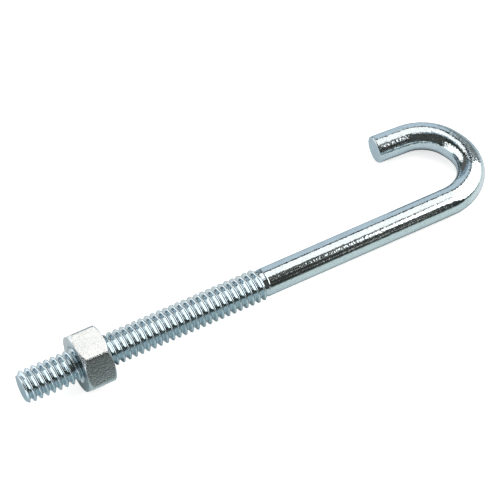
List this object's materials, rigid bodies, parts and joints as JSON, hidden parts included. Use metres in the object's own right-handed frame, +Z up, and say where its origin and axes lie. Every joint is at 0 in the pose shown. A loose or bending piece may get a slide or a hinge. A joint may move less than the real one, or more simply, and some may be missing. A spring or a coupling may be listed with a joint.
{
  "type": "j bolt",
  "caption": "Zinc-plated rod with a rolled thread and a hex nut on one end and a round hook bent on the other, for anchoring or hanging.",
  "frame": {"origin": "floor under the middle of the bounding box, the bolt lying on its nut and its hook", "axes": "+X along the rod from the thread end to the hook, +Y from the rod across to the hook's tip, +Z up; the rod leans down 2.07 degrees from nut to hook"},
  "size_m": [0.1016, 0.0278, 0.0116],
  "materials": {
    "zinc_rod": "bright zinc plate, finely grained",
    "zinc_nut": "bright zinc plate, slightly mottled flats"
  },
  "bodies": {
    "bolt": {"hook_rod": "zinc_rod"},
    "nut": {"hex_nut": "zinc_nut"}
  },
  "joints": [
    {"name": "nut_travel", "type": "slide", "parent": "bolt", "child": "nut", "axis": [0.9993, 0, -0.0362], "range_m": [-0.01016, 0.03048]}
  ]
}
